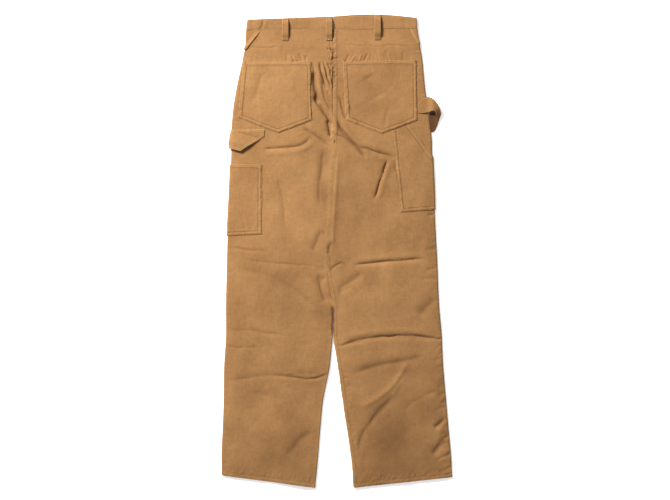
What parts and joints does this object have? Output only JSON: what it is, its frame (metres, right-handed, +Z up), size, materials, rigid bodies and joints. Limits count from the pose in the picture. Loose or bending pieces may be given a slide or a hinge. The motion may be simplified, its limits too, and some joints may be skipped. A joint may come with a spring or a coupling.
{
  "type": "duck canvas work pants",
  "caption": "Straight-leg duck canvas work pants laid flat on their front, with patch pockets, a leg flap, a tool pocket and a slack hammer loop.",
  "frame": {"origin": "on the surface that the pants lie on, under the middle of their outline", "axes": "+Y along the garment from the hems to the waist, +Z up through the back of the pants, +X from the wearer's left to the right"},
  "size_m": [0.5194, 1.0636, 0.0165],
  "materials": {
    "duck_canvas": "plain-woven cotton duck with thick and thin yarns, matt",
    "button_metal": "dulled antique brass"
  },
  "bodies": {
    "root": {"back_left": "duck_canvas", "back_right": "duck_canvas", "front_left": "duck_canvas", "front_right": "duck_canvas", "hip_facing_left": "duck_canvas", "hip_facing_right": "duck_canvas", "waistband_left": "duck_canvas", "waistband_right": "duck_canvas", "back_pocket_left": "duck_canvas", "back_pocket_right": "duck_canvas", "leg_pocket_left": "duck_canvas", "leg_flap_left": "duck_canvas", "tool_pocket_right": "duck_canvas", "hammer_loop_right": "duck_canvas", "belt_loop_back_left": "duck_canvas", "belt_loop_back_centre": "duck_canvas", "belt_loop_back_right": "duck_canvas", "belt_loop_front_left_side": "duck_canvas", "belt_loop_front_left": "duck_canvas", "belt_loop_front_right": "duck_canvas", "belt_loop_front_right_side": "duck_canvas", "waist_button": "button_metal"}
  },
  "joints": []
}
